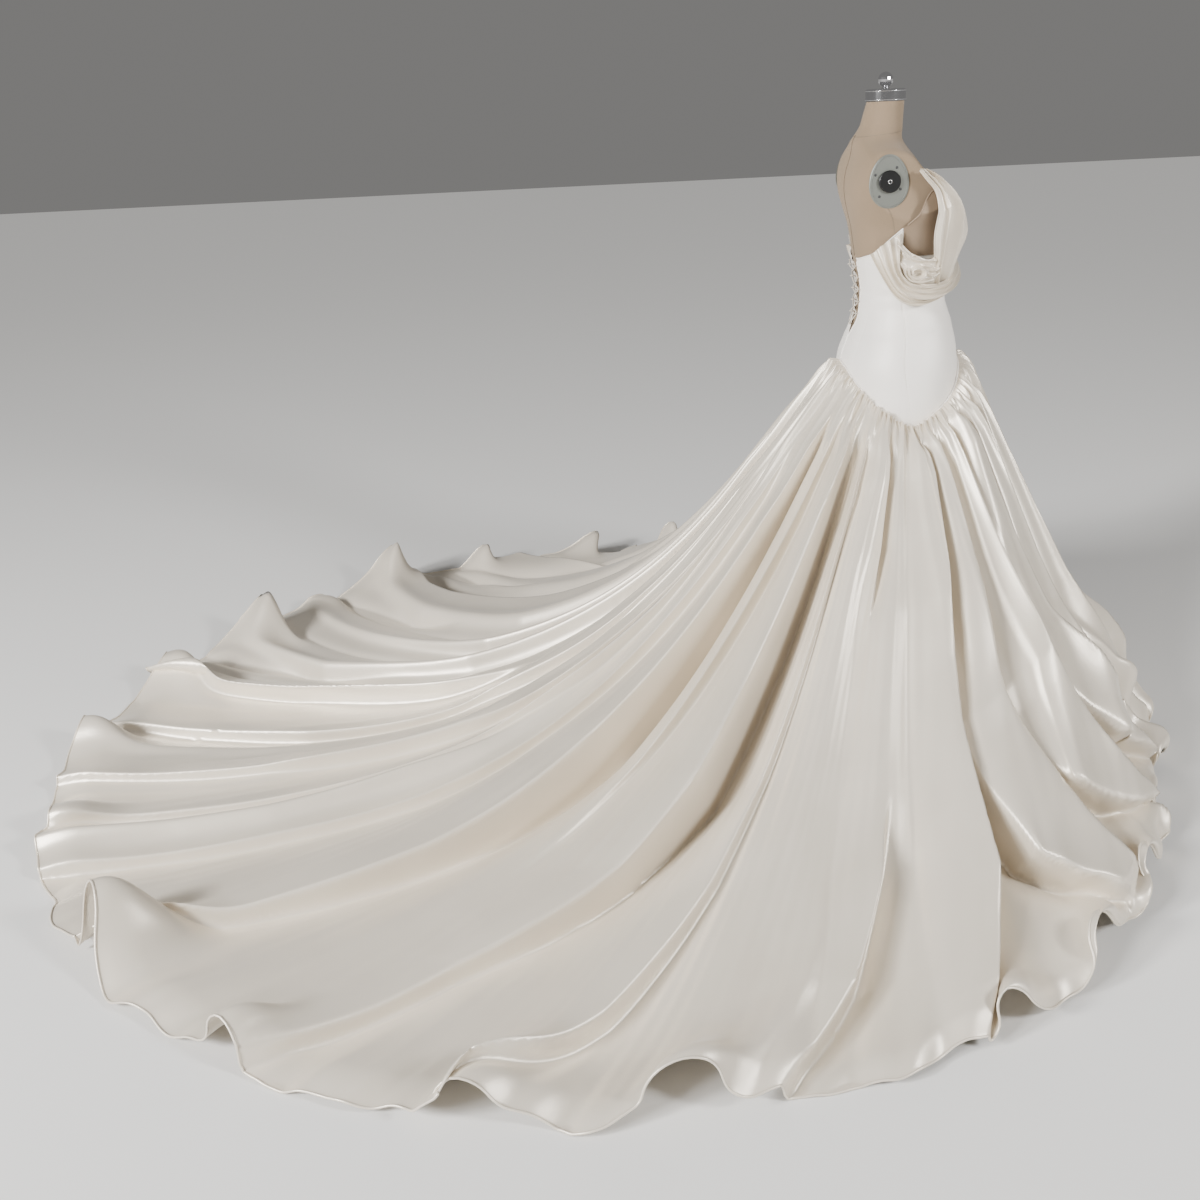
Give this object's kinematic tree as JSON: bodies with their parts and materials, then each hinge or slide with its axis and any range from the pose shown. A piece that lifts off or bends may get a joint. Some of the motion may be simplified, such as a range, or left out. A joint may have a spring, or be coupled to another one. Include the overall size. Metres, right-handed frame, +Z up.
{
  "type": "wedding dress on dress form",
  "caption": "Wedding dress with fitted pointed bodice, draped bust, laced back and gathered skirt running into a very long round train, on a limbless dress form.",
  "frame": {"origin": "on the floor, at the middle of the underside of the stand's base", "axes": "+Z up, -Y the front of the dress, +Y along the train, -X the wearer's right"},
  "size_m": [2.5822, 2.7278, 1.6229],
  "materials": {
    "satin": "satin",
    "bodice_satin": "satin",
    "cord": "matte",
    "linen": "matte",
    "chrome": "polished",
    "plate": "satin",
    "disc": "matte",
    "stand": "satin"
  },
  "bodies": {
    "root": {"band_left": "satin", "band_right": "satin", "bodice_back_left": "bodice_satin", "bodice_back_right": "bodice_satin", "bodice_front": "bodice_satin", "cup_left": "bodice_satin", "cup_right": "bodice_satin", "form_arm_disc_left": "disc", "form_arm_disc_right": "disc", "form_arm_plate_left": "plate", "form_arm_plate_right": "plate", "form_base": "stand", "form_knob": "chrome", "form_neck_cap": "chrome", "form_pole": "stand", "form_torso": "linen", "gore_01": "satin", "gore_02": "satin", "gore_03": "satin", "gore_04": "satin", "gore_05": "satin", "gore_06": "satin", "gore_07": "satin", "gore_08": "satin", "gore_09": "satin", "gore_10": "satin", "gore_11": "satin", "gore_12": "satin", "lace_a": "cord", "lace_b": "cord", "lace_knot": "cord", "lobe_left": "satin", "lobe_right": "satin", "loop_left_1": "cord", "loop_left_2": "cord", "loop_left_3": "cord", "loop_left_4": "cord", "loop_left_5": "cord", "loop_right_1": "cord", "loop_right_2": "cord", "loop_right_3": "cord", "loop_right_4": "cord", "loop_right_5": "cord"}
  },
  "joints": []
}
